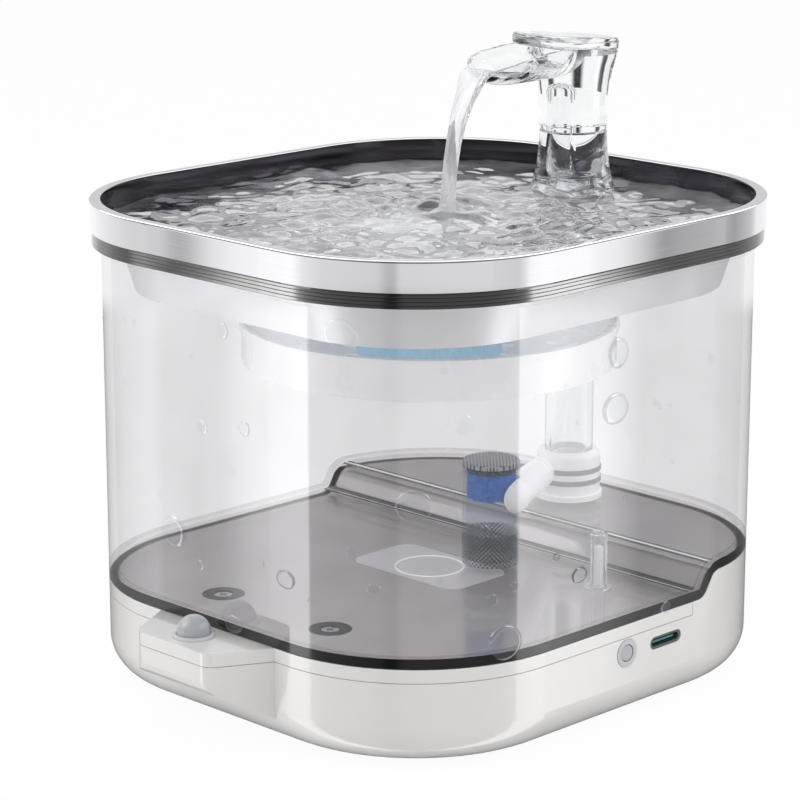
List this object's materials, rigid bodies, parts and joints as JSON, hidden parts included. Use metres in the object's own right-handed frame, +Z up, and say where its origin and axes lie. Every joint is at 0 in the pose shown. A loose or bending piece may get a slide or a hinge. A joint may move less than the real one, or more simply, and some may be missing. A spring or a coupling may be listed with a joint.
{
  "type": "pet water fountain",
  "caption": "Cordless pet fountain: clear tank on a white battery base, steel drinking tray over a round filter, small pump, and a clear waterfall faucet; motion sensor in front.",
  "frame": {"origin": "centre of the footprint's bounding box, on the floor under the rubber feet", "axes": "+Z up; -Y towards the front with the sensor pod; +X towards the button and charging socket"},
  "size_m": [0.18, 0.2076, 0.2027],
  "materials": {
    "shell": "warm white, glossy",
    "hatch": "fine grain",
    "screw": "zinc plated",
    "foot_rubber": "soft, matte",
    "washer_rubber": "matte",
    "frosted": "frosted",
    "circuit_board": "solder mask",
    "led": "lens",
    "dome": "pearl grey",
    "collar": "gloss",
    "sensor_can": "pressed can",
    "battery": "shrink sleeve",
    "black_plastic": "moulded",
    "bezel": "satin",
    "button": "satin",
    "socket": "moulded",
    "tongue": "gold and teal contacts",
    "core": "laminated",
    "copper": "enamelled wire",
    "smoke": "smoke tinted, clear",
    "clear": "clear",
    "float": "gloss",
    "magnet": "nickel plated",
    "pump_white": "gloss",
    "band": "satin",
    "shaft": "ceramic",
    "impeller": "moulded",
    "cage": "clear",
    "sponge": "open foam",
    "steel": "polished stainless",
    "seal": "translucent silicone",
    "strainer": "clear",
    "bowl": "gloss",
    "blue_sponge": "open foam",
    "carbon": "granules in gauze",
    "cotton": "felted",
    "faucet_clear": "clear, thick"
  },
  "bodies": {
    "base": {"base_shell": "shell", "base_cover": "shell", "battery_hatch": "hatch", "hatch_screws": "screw", "rubber_feet": "foot_rubber", "cover_screws": "screw", "screw_washers": "washer_rubber", "light_window": "frosted", "light_board": "circuit_board", "light_leds": "led", "pir_dome": "dome", "pir_collar": "collar", "pir_sensor": "sensor_can", "sensor_board": "circuit_board", "control_board": "circuit_board", "board_screws": "screw", "battery_cells": "battery", "battery_holder": "black_plastic", "tact_switch": "black_plastic", "button_bezel": "bezel", "usb_c_socket": "socket", "usb_c_tongue": "tongue", "drive_board": "circuit_board", "stator_core": "core", "drive_coils": "copper", "level_sensor": "black_plastic"},
    "button": {"power_button": "button"},
    "tank": {"tank_floor": "smoke", "tank_wall": "clear", "tank_gasket": "washer_rubber", "float_guide": "clear"},
    "float": {"float_pin": "float", "float_magnet": "magnet"},
    "pump": {"pump_housing": "pump_white", "pump_bottom": "pump_white", "pump_bands": "band", "impeller_shaft": "shaft", "riser_tube": "clear", "intake_duct": "pump_white", "intake_cage": "cage", "cage_sponge": "sponge"},
    "rotor": {"impeller": "impeller", "impeller_magnet": "magnet"},
    "lid": {"cage_lid": "cage"},
    "tray": {"drinking_tray": "steel", "tray_grommet": "seal", "filter_holder": "clear"},
    "strainer": {"overflow_strainer": "strainer"},
    "filter": {"filter_bowl": "bowl", "filter_window": "clear", "filter_sponge": "blue_sponge", "carbon_layer": "carbon", "cotton_layer": "cotton"},
    "faucet_base": {"faucet_foot": "faucet_clear", "foot_seal": "seal"},
    "faucet": {"faucet_spout": "faucet_clear", "faucet_lever": "faucet_clear"}
  },
  "joints": [
    {"name": "button_press", "type": "slide", "parent": "base", "child": "button", "axis": [-1, 0, 0], "range_m": [0, 0.0008], "stiffness_N_per_m": 600},
    {"name": "tank_lift", "type": "slide", "parent": "base", "child": "tank", "axis": [0, 0, 1], "range_m": [0, 0.15]},
    {"name": "float_rise", "type": "slide", "parent": "tank", "child": "float", "axis": [0, 0, 1], "range_m": [0, 0.0035]},
    {"name": "pump_lift", "type": "slide", "parent": "tank", "child": "pump", "axis": [0, 0, 1], "range_m": [0, 0.005]},
    {"name": "impeller_spin", "type": "hinge", "parent": "pump", "child": "rotor", "pos_m": [0, 0.07543, 0.0008], "axis": [0, 0, 1], "continuous": true},
    {"name": "cage_lid_lift", "type": "slide", "parent": "pump", "child": "lid", "axis": [0, 0, 1], "range_m": [0, 0.012]},
    {"name": "tray_lift", "type": "slide", "parent": "tank", "child": "tray", "axis": [0, 0, 1], "range_m": [0, 0.12]},
    {"name": "strainer_lift", "type": "slide", "parent": "tray", "child": "strainer", "axis": [0, 0, 1], "range_m": [0, 0.03]},
    {"name": "filter_twist", "type": "hinge", "parent": "tray", "child": "filter", "pos_m": [0, 0.00743, 0.0008], "axis": [0, 0, 1], "range_deg": [0, 35]},
    {"name": "faucet_lift", "type": "slide", "parent": "tray", "child": "faucet_base", "axis": [0, 0, 1], "range_m": [0, 0.03]},
    {"name": "faucet_swivel", "type": "hinge", "parent": "faucet_base", "child": "faucet", "pos_m": [0, 0.07543, 0.0008], "axis": [0, 0, 1], "range_deg": [-90, 90]}
  ]
}
